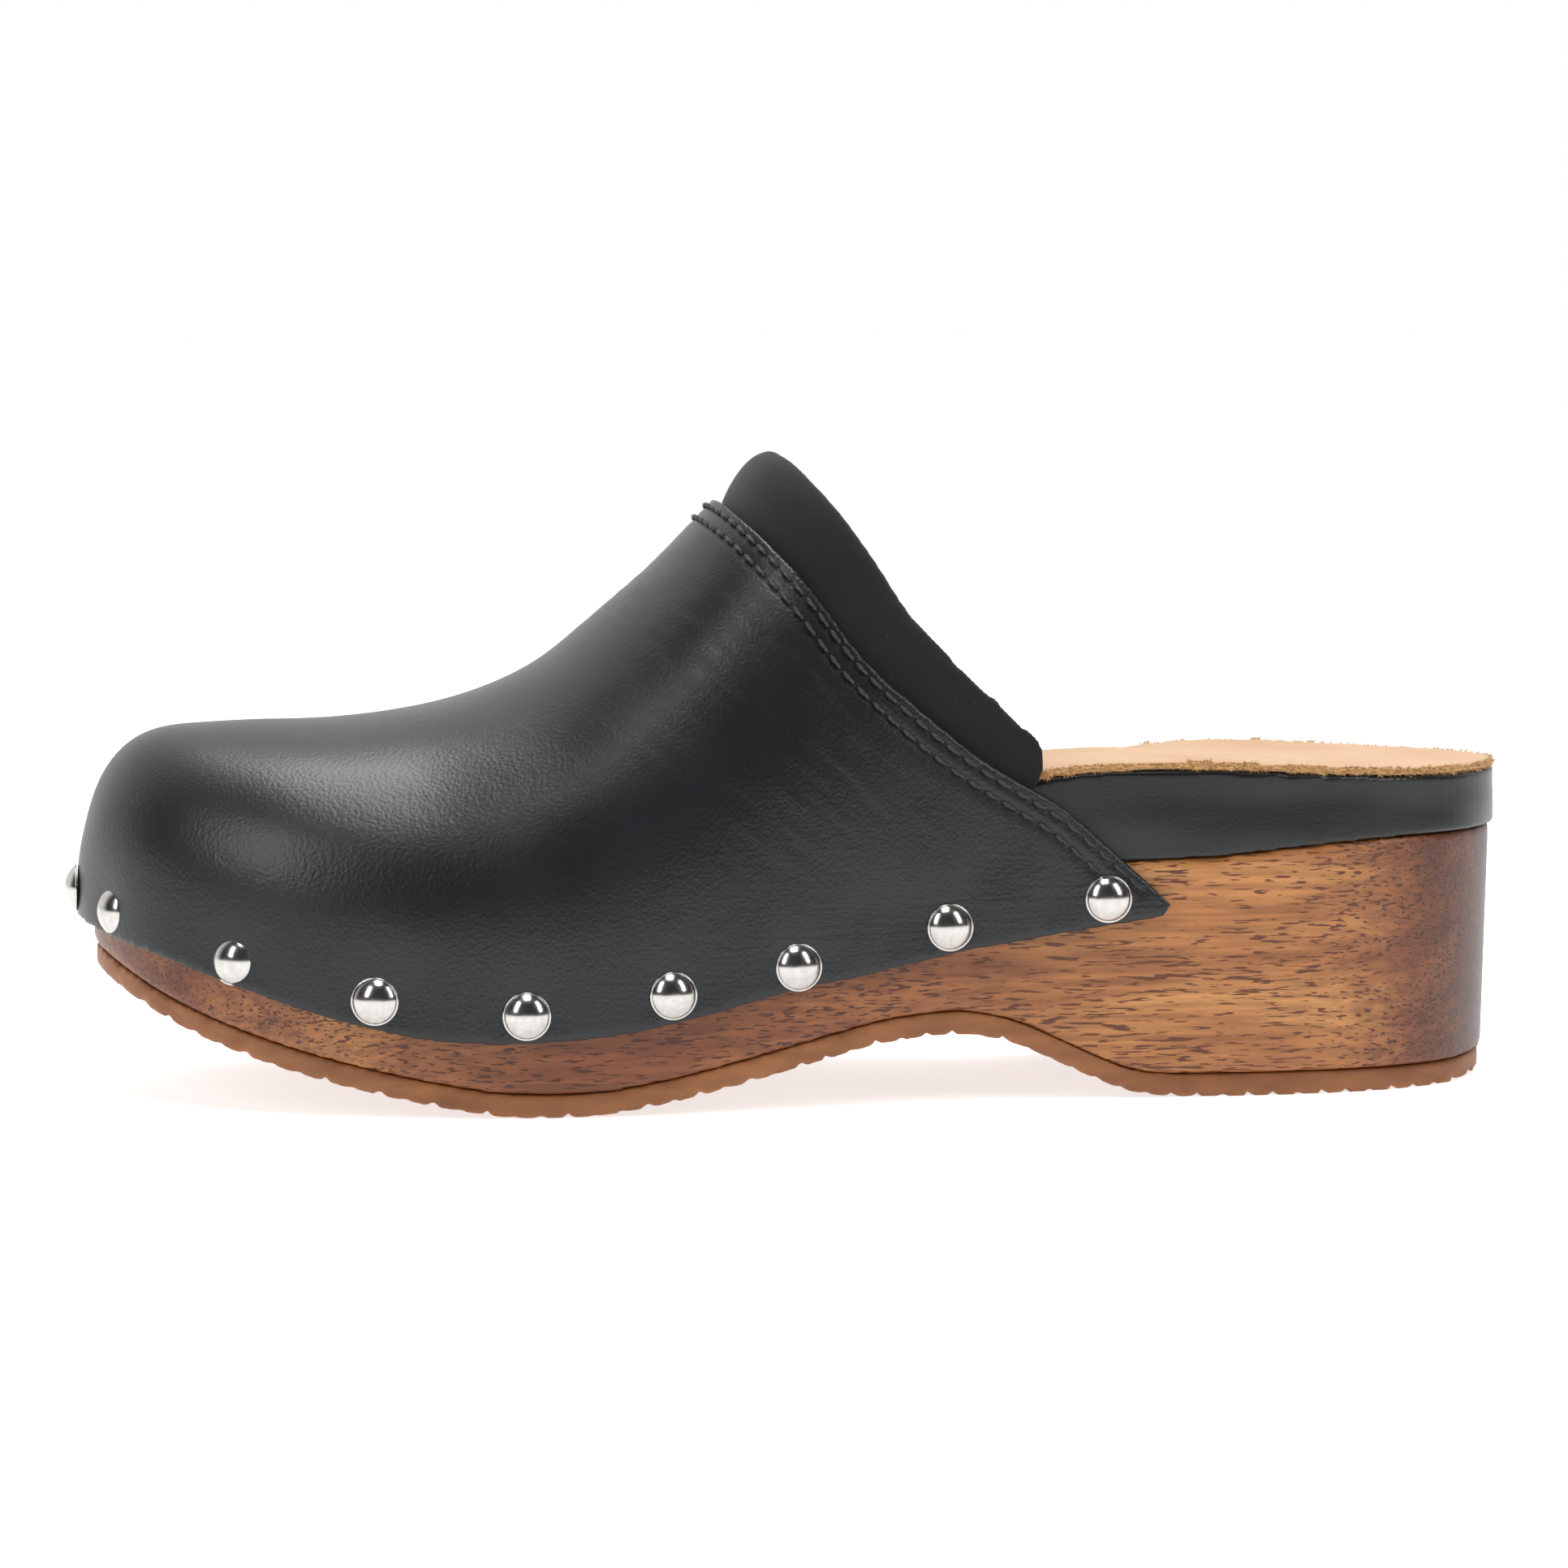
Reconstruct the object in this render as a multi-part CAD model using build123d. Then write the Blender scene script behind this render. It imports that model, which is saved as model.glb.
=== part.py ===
from build123d import *
import math
import os

import numpy as np
from scipy.interpolate import CubicSpline, PchipInterpolator

# Left clog. The toe points to -X, the outer side faces -Y and +Z is up. The origin is on the ground,
# under the middle of the shoe's box. All sizes are in millimetres.

# Overall sizes
sole_length = 250.0
sole_width = 89.5
heel_seat_height = 59.0
throat_height = 101.6

# Layers
outsole_thickness = 4.1
sock_thickness = 1.5
cushion_thickness = 2.0
wrap_thickness = 1.1
lining_thickness = 0.8
puff_thickness = 0.3
leather_thickness = 1.6
lining_gap = 0.1
puff_gap = 0.15
# The room that the lining and the toe stiffener take between the last and the leather
room_in_upper = 1.5
upper_reach = room_in_upper + leather_thickness
layer_clearance = 0.1
sheet_gap = 0.03
footbed_front_inset = 2.6
# Shares of the sole's length where the footbed begins to widen, and over which it reaches the wood's edge
footbed_widening_start = 0.5
footbed_widening_length = 0.2
slab_margin = 8.0
sock_inset = 0.1

# Outsole details
outsole_inset = 0.4
tread_pitch = 4.6
tread_groove_width = 1.3
tread_groove_depth = 0.9
tread_start = 4.0

# Collar
collar_height = 13.2
collar_end_height = 4.0
collar_tuck = 6.0
collar_thickness = 8.5
collar_end_thickness = 1.3
collar_cover_thickness = 0.5
collar_least_half = 0.12
collar_lean = 17.0
collar_height_fade = 0.2
collar_thickness_fade = 1.6
collar_seam_angle = 82
foam_gap = 0.05
lining_below_collar = 1.0
# Where pieces of the upper end, as shares of the way from the toe to a rear tip
collar_reach = 0.83
foam_reach = 0.76
foam_end_gap = 0.004
puff_reach = 0.45
upper_row_reach = 0.97
lower_row_reach = 0.95
# Shares of the way from the nailed edge to the topline
lining_start = 0.04
puff_top = 0.36

# Studs: a pressed domed cap over a pin
stud_radius = 4.15
stud_dome_height = 2.1
stud_sheet = 0.5
stud_seat_gap = 0.06
pin_radius = 0.8
pin_head_radius = 1.6
pin_head_height = 0.5
pin_depth = 9.0
pin_hole_clearance = 0.06

# Stitching
stitch_pitch = 3.5
stitch_length = 2.6
thread_radius = 0.3
thread_gap = 0.04
stitch_samples = 1200
upper_row_inset = 1.8
lower_row_inset = 4.6

# The pattern: shapes drawn for a sole 250 long and 89.5 wide, stretched to the sizes above
pattern_length = 250.0
pattern_width = 89.5
pattern_seat_height = 59.0
pattern_throat_height = 101.6
# Above this height the upper takes its height from the throat, below it from the sole
pattern_edge_height = 30.0
stretch_x = sole_length / pattern_length
stretch_y = sole_width / pattern_width
stretch_sole = heel_seat_height / pattern_seat_height

# Plan outline of the wood, toe to heel, as (distance from the toe, sideways)
outer_side = [(0, 5), (3, -8), (10, -20), (25, -32), (40, -39), (55, -43), (70, -45.5), (85, -46),
              (105, -44.2), (125, -41.3), (145, -38.6), (165, -37.2), (185, -37.2), (200, -37.8),
              (215, -37), (230, -33), (240, -26.5), (247, -17), (250, -6)]
inner_side = [(0, 5), (3, 17), (10, 26.5), (25, 35.5), (40, 40.5), (55, 43), (70, 43.5), (85, 41), (105, 35),
              (125, 28.5), (145, 24), (165, 22.5), (185, 23.5), (200, 24.5), (215, 23.5), (230, 19),
              (240, 12.5), (247, 4), (250, -6)]

# Side profiles, as (distance from the toe, height)
ground_profile = [(-12, 31), (0, 22), (10, 16), (20, 11.5), (35, 6.7), (48, 3.6), (60, 1.3), (71, 0), (80, 0),
                  (93, 1.5), (107, 4.4), (123, 8.3), (135, 11), (147, 12), (156, 10.5), (163, 7.6),
                  (171, 3.9), (179, 0.9), (187, 0), (240, 0), (250, 1.0), (262, 4.0)]
wood_top_profile = [(-12, 40), (0, 39.5), (12, 37), (25, 33.5), (45, 28.5), (65, 26), (85, 26), (105, 28),
                    (125, 32), (145, 37.5), (165, 41), (181, 41.7), (194, 42.3), (208, 43.7), (228, 45),
                    (262, 45.4)]
sock_top_profile = [(-12, 50), (3, 48), (25, 43), (45, 38.5), (65, 36), (85, 36.8), (105, 41), (125, 46.5),
                    (145, 52.5), (156, 56), (164, 58), (176, 58.8), (187, 59), (202, 58.4), (216, 57.6),
                    (232, 57), (262, 56.8)]
leather_edge = [(0, 30.5), (4, 28.8), (12, 26.6), (23, 22.4), (32, 19.5), (41, 16.6), (50, 14.6), (60, 13.4),
                (71, 13.1), (82, 13.9), (93, 15.4), (110, 19.4), (135, 24.3), (150, 27.2),
                (165, 29.5), (183, 32)]
topline = [(111.5, 101.6), (115, 97.6), (121.5, 89.3), (129.5, 78), (139.5, 68.5), (147, 62.5), (154.5, 57.5),
           (160, 54.3), (166.5, 50.3), (172, 45.6), (179.5, 39), (184.5, 34.2)]
# Centre line of the last: up the toe, along the vamp, over the instep and on past the throat
centre_line = [(0, 30.5), (0, 39.5), (1.6, 46.1), (3.7, 52.5), (8, 58.6), (14, 61), (25, 61.8), (41, 62.2),
               (53, 63.3), (65.5, 66.2), (78, 71.5), (90, 80.8), (101.5, 91), (111.5, 101.6), (124, 113.5),
               (150, 125), (190, 131)]
section_squareness = 2.5
# How far up the toe the centre line crowds its points, so that the small bends there are sampled finely
centre_crowding = 1.5

# Small steps for measuring slopes: an angle, and shares of the way along and up the last
angle_step = 1e-4
frame_step = 2e-3
drop_step = 0.02

# Stud places, as (distance from the toe, height above the ground)
stud_places = [(4.6, 33.0), (23.5, 26.4), (46.3, 20.4), (71.3, 18.0), (96.0, 21.0), (117.9, 25.1),
               (144.9, 31.1), (173.2, 35.4)]
toe_stud_height = 35.4

toe_room = upper_reach + stud_seat_gap + stud_dome_height
origin_shift = (sole_length - toe_room) / 2


def stretched(points, upward):
    """The pattern's side-view points at the real length, with heights scaled by a factor."""
    return [(x * stretch_x, z * upward) for x, z in points]


def stretched_upper(points):
    """Side-view points of the upper: the nailed edge follows the sole, and the throat has its own height."""
    lift = throat_height / pattern_throat_height
    moved = []
    for x, z in points:
        share = min(max((z - pattern_edge_height) / (pattern_throat_height - pattern_edge_height), 0), 1)
        moved.append((x * stretch_x, z * (stretch_sole * (1 - share) + lift * share)))
    return moved


def height_curve(points):
    """A height that varies smoothly with the distance from the toe."""
    return PchipInterpolator([p[0] for p in points], [p[1] for p in points], extrapolate=True)


def path_curve(points):
    """A smooth side-view path; its parameter runs from 0 to 1 along it."""
    array = np.array(points, dtype=float)
    steps = np.hypot(*np.diff(array, axis=0).T)
    along = np.concatenate([[0], np.cumsum(steps)])
    return PchipInterpolator(along / along[-1], array)


def side_curve(points):
    """Sideways reach of one side against an angle that runs from 0 at the toe to pi at the heel."""
    angles = [math.acos(1 - 2 * x / pattern_length) for x, _ in points]
    return CubicSpline(angles, [y * stretch_y for _, y in points])


ground = height_curve(stretched(ground_profile, stretch_sole))
wood_top = height_curve(stretched(wood_top_profile, stretch_sole))
sock_top = height_curve(stretched(sock_top_profile, stretch_sole))
edge_path = path_curve(stretched(leather_edge, stretch_sole))
top_path = path_curve(stretched_upper(topline))
centre_path = path_curve(stretched_upper(centre_line))
outer_reach = side_curve(outer_side)
inner_reach = side_curve(inner_side)


def wood_bottom(x):
    return ground(x) + outsole_thickness


def plan_angle(x):
    return math.acos(1 - 2 * min(max(x / sole_length, 0), 1))


def plan_point(angle, side, inset=0.0):
    """A point of the plan outline, moved inwards by an inset. side is -1 for outer and 1 for inner."""
    step = angle_step
    reach = outer_reach if side < 0 else inner_reach
    near = max(angle - step, 0)
    far = min(angle + step, math.pi)
    dx = sole_length * (math.cos(near) - math.cos(far)) / 2
    dy = float(reach(far) - reach(near))
    size = math.hypot(dx, dy)
    x = sole_length * (1 - math.cos(angle)) / 2
    y = float(reach(angle))
    return (x + side * dy / size * inset, y - side * dx / size * inset)


def plan_face(inset, samples=24):
    """The sole's outline as a flat face. inset is a distance, or a function of the distance from the toe."""
    outline = {}
    for side in (-1, 1):
        outline[side] = []
        for i in range(samples + 1):
            angle = math.pi * i / samples
            x = sole_length * (1 - math.cos(angle)) / 2
            outline[side].append(plan_point(angle, side, inset(x) if callable(inset) else inset))
    return make_face(Spline(*outline[-1], *reversed(outline[1][1:-1]), periodic=True))


def slab(bottom, top, samples=44):
    """A wide slab between two side profiles. bottom is a function of x, or a stepped profile's points."""
    xs = np.linspace(-slab_margin, sole_length + slab_margin, samples)
    over = [(x, 0, float(top(x))) for x in xs]
    if callable(bottom):
        under = Spline(*[(x, 0, float(bottom(x))) for x in xs])
    else:
        under = Polyline(*[(x, 0, z) for x, z in bottom])
    sides = [Line(under @ 1, over[-1]), Line(over[0], under @ 0)]
    outline = make_face([*under.edges(), sides[0], Spline(*reversed(over)), sides[1]])
    return extrude(outline, amount=sole_width, dir=(0, 1, 0), both=True)


def sole_layer(bottom, top, inset):
    """A layer of the sole: the plan outline between two side profiles."""
    column = extrude(plan_face(inset), amount=2 * heel_seat_height)
    column = Pos(0, 0, -heel_seat_height / 2) * column
    return column & slab(bottom, top)


def centre_y(x):
    """The line half-way between the two sides."""
    angle = plan_angle(x)
    return float(outer_reach(angle) + inner_reach(angle)) / 2


def half_width(x):
    angle = plan_angle(x)
    return float(inner_reach(angle) - outer_reach(angle)) / 2


centre_shares = np.linspace(0, 1, 4001) ** centre_crowding
centre_samples = centre_path(centre_shares)


def crown_height(x):
    """Height of the last's centre line over a point of its length."""
    return float(np.interp(x, centre_samples[:, 0], centre_samples[:, 1]))


# Share of the centre line that the upper covers, from the toe to the throat
throat_share = float(np.interp(topline[0][0] * stretch_x, centre_samples[:, 0], centre_shares))


def last_point(p, v):
    """A point of the last. p runs from -1 at the outer rear tip, round the toe, to 1 at the inner rear tip.
    v runs from 0 at the nailed edge to 1 at the topline."""
    along = p * p
    edge = edge_path(along)
    top = top_path(along)
    blend = (1 - v) * edge + v * top
    start = (1 - v) * edge_path(0) + v * top_path(0)
    x, z = blend + (centre_path(v * throat_share) - start) * (1 - along) ** 2
    base = float(wood_top(x))
    rise = max(z - base, 0) / max(crown_height(x) - base, 1e-6)
    fullness = math.sqrt(max(1 - min(rise, 1) ** section_squareness, 0))
    if p == 0:
        fullness = 0
    side = -1 if p < 0 else 1
    return np.array([x, centre_y(x) + side * half_width(x) * fullness, z])


def last_frame(p, v):
    """Point, outward normal, direction towards the topline and direction along the row."""
    step = frame_step
    low = max(v - step, 0)
    high = min(v + step, 1)
    along = last_point(min(p + step, 1), v) - last_point(max(p - step, -1), v)
    up = last_point(p, high) - last_point(p, low)
    normal = np.cross(up, along)
    normal /= np.linalg.norm(normal)
    along /= np.linalg.norm(along)
    up = np.cross(along, normal)
    return last_point(p, v), normal, up, along


def shell_point(p, v, reach):
    point, normal, _, _ = last_frame(p, v)
    return tuple(float(c) for c in point + normal * reach)


def smooth_face(grid):
    """A smooth surface through a grid of points."""
    return Face.make_surface_from_array_of_points(grid, tol=0.05, smoothing=(1, 1, 1), max_deg=5)


def row_drop(p, distance):
    """Share of v that lies a distance below the topline."""
    step = drop_step
    length = float(np.linalg.norm(last_point(p, 1) - last_point(p, 1 - step)))
    return min(distance * step / length, 0.8)


def closed_layer(grids):
    """A closed solid between two smooth surfaces, with ruled walls between their edges."""
    faces = [smooth_face(grid) for grid in grids]
    walls = []
    for edge in faces[0].edges():
        partner = min(faces[1].edges(), key=lambda other: (other.center() - edge.center()).length)
        walls.append(Face.make_surface_from_curves(edge, partner))
    return Solid(Shell(faces + walls))


def upper_layer(inside, outside, p_end, v_low, below_topline, v_limit=1.0, columns=45, rows=19):
    """A closed layer of the upper between two offsets of the last."""
    grids = []
    for reach in (inside, outside):
        grid = []
        for p in np.linspace(-p_end, p_end, columns):
            v_high = min(v_limit, 1 - row_drop(p, below_topline))
            grid.append([shell_point(p, v, reach) for v in np.linspace(v_low, v_high, rows)])
        grids.append(grid)
    return closed_layer(grids)


def make_leather():
    return upper_layer(upper_reach - leather_thickness, upper_reach, 1.0, 0.0, 0.0)


def make_lining():
    return upper_layer(lining_gap, lining_gap + lining_thickness, collar_reach, lining_start,
                       collar_tuck + lining_below_collar)


def make_toe_puff():
    inside = lining_gap + lining_thickness + puff_gap
    outside = inside + puff_thickness
    return upper_layer(inside, outside, puff_reach, lining_start, 0.0, v_limit=puff_top, rows=11)


def collar_arc(p, shrink, facing, samples=13):
    """One side of the collar's oval section at a place of the topline, made smaller all round by a skin."""
    point, normal, up, _ = last_frame(p, 1)
    ease = 1 - (p / collar_reach) ** 2
    growth = collar_height - collar_end_height
    height = collar_end_height + growth * ease ** collar_height_fade
    growth = collar_thickness - collar_end_thickness
    thickness = collar_end_thickness + growth * ease ** collar_thickness_fade
    lean = math.radians(collar_lean) * ease ** 2
    leaning_up = up * math.cos(lean) + normal * math.sin(lean)
    normal = normal * math.cos(lean) - up * math.sin(lean)
    up = leaning_up
    middle = point + up * (height - collar_tuck) / 2
    middle = middle + normal * (upper_reach - leather_thickness - layer_clearance - thickness / 2)
    tall = (height + collar_tuck) / 2 - shrink
    thick = max(thickness / 2 - shrink, collar_least_half)
    arc = []
    for angle in np.radians(np.linspace(-collar_seam_angle, collar_seam_angle, samples)):
        place = middle + up * tall * math.sin(angle) + normal * facing * thick * math.cos(angle)
        arc.append(tuple(float(c) for c in place))
    return arc


def collar_roll(reach, shrink, sections=41):
    """The padded roll along the topline, from near one rear tip over the throat to the other."""
    ps = np.linspace(-reach, reach, 401)
    steps = [np.linalg.norm(last_point(b, 1) - last_point(a, 1)) for a, b in zip(ps, ps[1:])]
    travelled = np.concatenate([[0], np.cumsum(steps)])
    places = np.interp(np.linspace(0, travelled[-1], sections), travelled, ps)
    return closed_layer([[collar_arc(p, shrink, facing) for p in places] for facing in (-1, 1)])


def make_collar():
    """The cover's skin and the foam inside it."""
    roll = collar_roll(collar_reach, 0.0)
    hollow = collar_roll(foam_reach, collar_cover_thickness)
    foam = collar_roll(foam_reach - foam_end_gap, collar_cover_thickness + foam_gap)
    return roll - hollow, foam


def footbed_inset(x):
    """The footbed is narrower inside the upper and reaches the wood's edge at the open heel."""
    share = min(max((x / sole_length - footbed_widening_start) / footbed_widening_length, 0), 1)
    return footbed_front_inset * (1 - share * share * (3 - 2 * share))


def sock_bottom(x):
    return sock_top(x) - sock_thickness


def footbed_seat(x):
    return wood_top(x) + sheet_gap


def wrap_top(x):
    return sock_bottom(x) - sheet_gap


def cushion_bottom(x):
    return wrap_top(x) - cushion_thickness + sheet_gap


def core_top(x):
    return cushion_bottom(x) - sheet_gap


def footbed_layer(bottom, top, inset):
    def layer_inset(x):
        return footbed_inset(x) + inset

    return sole_layer(bottom, top, layer_inset)


def make_footbed():
    """The firm core, the foam on it, the leather round its edge and the sock on top."""
    inner_inset = wrap_thickness + layer_clearance
    wrap = footbed_layer(footbed_seat, wrap_top, 0.0) - footbed_layer(wood_top, sock_top, wrap_thickness)
    core = footbed_layer(footbed_seat, core_top, inner_inset)
    cushion = footbed_layer(cushion_bottom, wrap_top, inner_inset)
    sock = footbed_layer(sock_bottom, sock_top, sock_inset)
    return {"footbed_core": core, "footbed_cushion": cushion, "footbed_wrap": wrap, "insole_sock": sock}


def rubber_top(x):
    return wood_bottom(x) - sheet_gap


def tread_profile():
    """The outsole's ground line from toe to heel, with a groove across it at every pitch."""
    points = [(-slab_margin, float(ground(-slab_margin)))]
    x = tread_start
    while x < sole_length - tread_start:
        slope = math.atan(float(ground.derivative()(x)))
        half = tread_groove_width / 2 * math.cos(slope)
        for side, depth in ((-1, 0), (-1, tread_groove_depth), (1, tread_groove_depth), (1, 0)):
            place = x + side * half
            points.append((place, float(ground(place)) + depth))
        x += tread_pitch * math.cos(slope)
    points.append((sole_length + slab_margin, float(ground(sole_length + slab_margin))))
    return points


def stud_planes():
    """The seat of each stud on the leather, with its Z axis pointing out of the shoe."""
    reach = upper_reach + stud_seat_gap
    toe_x, toe_y = plan_point(0, 1)
    toe_seat = Plane(origin=(toe_x - reach, toe_y, toe_stud_height * stretch_sole), z_dir=(-1, 0, 0))
    planes = {"toe": [toe_seat]}
    for name, side in (("lateral", -1), ("medial", 1)):
        planes[name] = []
        for x, z in stud_places:
            angle = plan_angle(x * stretch_x)
            edge = Vector(*plan_point(angle, side), z * stretch_sole)
            outward = edge - Vector(*plan_point(angle, side, 1.0), z * stretch_sole)
            planes[name].append(Plane(origin=edge + outward * reach, z_dir=outward))
    return planes


def stud_cap():
    """A pressed dome, hollow underneath, standing on the XY plane."""
    dome_radius = (stud_radius ** 2 + stud_dome_height ** 2) / (2 * stud_dome_height)
    centre = Pos(0, 0, stud_dome_height - dome_radius)
    above = Pos(0, 0, stud_dome_height) * Cylinder(stud_radius + 1, 2 * stud_dome_height)
    return (centre * Sphere(dome_radius) & above) - centre * Sphere(dome_radius - stud_sheet)


def stud_pin():
    """A pin along -Z with a flat head, which sits under the dome."""
    head = Pos(0, 0, pin_head_height / 2) * Cylinder(pin_head_radius, pin_head_height)
    length = pin_depth + upper_reach
    return head + Pos(0, 0, -length / 2) * Cylinder(pin_radius, length)


def pin_hole():
    length = pin_depth + upper_reach + pin_hole_clearance
    return Pos(0, 0, 1 - length / 2) * Cylinder(pin_radius + pin_hole_clearance, length + 2)


def stitch_row(inset, reach):
    """Stitches along the topline: short bars of thread that lie on the leather."""
    lay = upper_reach + thread_radius + thread_gap
    ps = np.linspace(-reach, reach, stitch_samples)
    points = [Vector(shell_point(p, 1 - row_drop(p, inset), lay)) for p in ps]
    stitches = []
    start = points[0]
    travelled = 0.0
    laid = False
    for before, after in zip(points, points[1:]):
        travelled += (after - before).length
        if travelled >= stitch_length and not laid:
            direction = after - start
            bar = Cylinder(thread_radius, direction.length)
            stitches.append(Plane(origin=start + direction / 2, z_dir=direction) * bar)
            laid = True
        if travelled >= stitch_pitch:
            start = after
            travelled = 0.0
            laid = False
    return Compound(children=stitches)


def build_parts():
    """Every piece of the clog by its name, with x measured from the wood's toe."""
    parts = make_footbed()
    parts["rubber_outsole"] = sole_layer(tread_profile(), rubber_top, outsole_inset)
    parts["collar_cover"], parts["collar_foam"] = make_collar()
    parts["topline_stitches_upper_row"] = stitch_row(upper_row_inset, upper_row_reach)
    parts["topline_stitches_lower_row"] = stitch_row(lower_row_inset, lower_row_reach)
    planes = stud_planes()
    drilled = {"wood_sole": sole_layer(wood_bottom, wood_top, 0.0), "upper_leather": make_leather(),
               "upper_lining": make_lining(), "toe_puff": make_toe_puff()}
    holes = [plane * pin_hole() for group in planes.values() for plane in group]
    for name, shape in drilled.items():
        parts[name] = shape - holes
    for name, group in planes.items():
        parts[f"stud_caps_{name}"] = Compound(children=[plane * stud_cap() for plane in group])
        parts[f"stud_pins_{name}"] = Compound(children=[plane * stud_pin() for plane in group])
    return parts


def main():
    os.makedirs("parts", exist_ok=True)
    move = Pos(-origin_shift, 0, 0)
    for name, shape in build_parts().items():
        print(name, round(shape.volume), shape.is_valid, len(shape.solids()), flush=True)
        export_step(move * shape, f"parts/{name}.step")


main()
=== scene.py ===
# %% [markdown]
# A nailed wooden clog. The CAD frame gives every piece its place and size, in metres, with the toe towards
# -X, the outer side of the foot towards -Y and +Z up. Each cell below makes one piece or finish of the shoe.

# %% Load the frame
import math
import random

import bmesh
import bpy
import numpy as np
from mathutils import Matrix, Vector, noise
from mathutils.bvhtree import BVHTree


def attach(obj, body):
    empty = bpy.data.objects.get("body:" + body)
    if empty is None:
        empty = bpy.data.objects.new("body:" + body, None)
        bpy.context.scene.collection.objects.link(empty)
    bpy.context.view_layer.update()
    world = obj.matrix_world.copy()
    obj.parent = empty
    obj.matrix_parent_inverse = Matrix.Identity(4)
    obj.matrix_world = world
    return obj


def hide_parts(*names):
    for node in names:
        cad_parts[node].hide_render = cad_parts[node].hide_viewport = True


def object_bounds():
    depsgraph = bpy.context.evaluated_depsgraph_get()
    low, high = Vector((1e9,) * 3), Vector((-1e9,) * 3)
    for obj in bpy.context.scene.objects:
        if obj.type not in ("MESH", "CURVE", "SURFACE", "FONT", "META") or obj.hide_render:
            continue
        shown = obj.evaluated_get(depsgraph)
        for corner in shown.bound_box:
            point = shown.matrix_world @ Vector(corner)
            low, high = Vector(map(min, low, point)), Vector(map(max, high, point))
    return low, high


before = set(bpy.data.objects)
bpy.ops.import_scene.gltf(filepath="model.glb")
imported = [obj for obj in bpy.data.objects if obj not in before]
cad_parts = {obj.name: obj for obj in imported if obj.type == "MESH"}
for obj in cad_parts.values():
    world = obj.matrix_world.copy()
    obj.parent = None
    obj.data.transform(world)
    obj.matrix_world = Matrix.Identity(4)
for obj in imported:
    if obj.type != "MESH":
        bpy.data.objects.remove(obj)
cad_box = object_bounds()
random.seed(11)
MM = 0.001
print("shoe from", cad_box[0], "to", cad_box[1])

# %% [markdown]
# Colours are picked as sRGB hex values, because that is how a colour chart gives them. Shaders work in linear
# light, so one function turns a hex value into linear numbers. A second small function adds a node with its
# settings and its links, so that each material below reads as a short recipe. A node given as an input stands
# for its first output, and every pattern is scaled by its real size in millimetres.

# %% Colour and node helpers
WHITE = "#FFFFFF"
BLACK = "#000000"


def hex_colour(text):
    """An sRGB hex value as linear red, green, blue and full opacity."""
    channels = [int(text[i:i + 2], 16) / 255 for i in (1, 3, 5)]
    linear = [c / 12.92 if c <= 0.04045 else ((c + 0.055) / 1.055) ** 2.4 for c in channels]
    return (*linear, 1.0)


def per_mm(*lengths):
    """A mapping scale in which one unit is the given number of millimetres along X, Y and Z."""
    return tuple(1000 / length for length in lengths)


def add_node(tree, kind, inputs=None, stops=None, **settings):
    """Add a node, set its properties, fill or link its inputs, and place a colour ramp's stops."""
    node = tree.nodes.new(kind)
    for name, value in settings.items():
        setattr(node, name, value)
    for name, value in (inputs or {}).items():
        if isinstance(value, bpy.types.Node):
            value = value.outputs[0]
        if isinstance(value, bpy.types.NodeSocket):
            tree.links.new(value, node.inputs[name])
        else:
            node.inputs[name].default_value = value
    if stops:
        elements = node.color_ramp.elements
        while len(elements) < len(stops):
            elements.new(0.5)
        for element, (position, colour) in zip(elements, stops):
            element.position = position
            element.color = hex_colour(colour)
    return node


def start_material(name, **shader):
    """A new material with its shader's plain values set, and object coordinates in metres."""
    material = bpy.data.materials.new(name)
    material.use_nodes = True
    tree = material.node_tree
    surface = tree.nodes["Principled BSDF"]
    for socket, value in shader.items():
        surface.inputs[socket.replace("_", " ")].default_value = value
    place = add_node(tree, "ShaderNodeTexCoord").outputs["Object"]
    return material, tree, surface, place


print("white is", hex_colour(WHITE), "and a pattern of 2 mm has scale", per_mm(2, 2, 2))

# %% [markdown]
# The upper is drum-dyed cowhide with a light wax finish. The eye sees a charcoal skin with a satin gloss, a
# fine pebble grain about 0.6 mm across that breaks up the highlight, and a greyer raw edge where it was cut.
# Voronoi cells give the pebble, and noise makes the wax a little uneven. Fine lines follow two painted masks:
# "flexed" where the vamp bends, and "pulled" where the nails hold the leather down.

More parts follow.
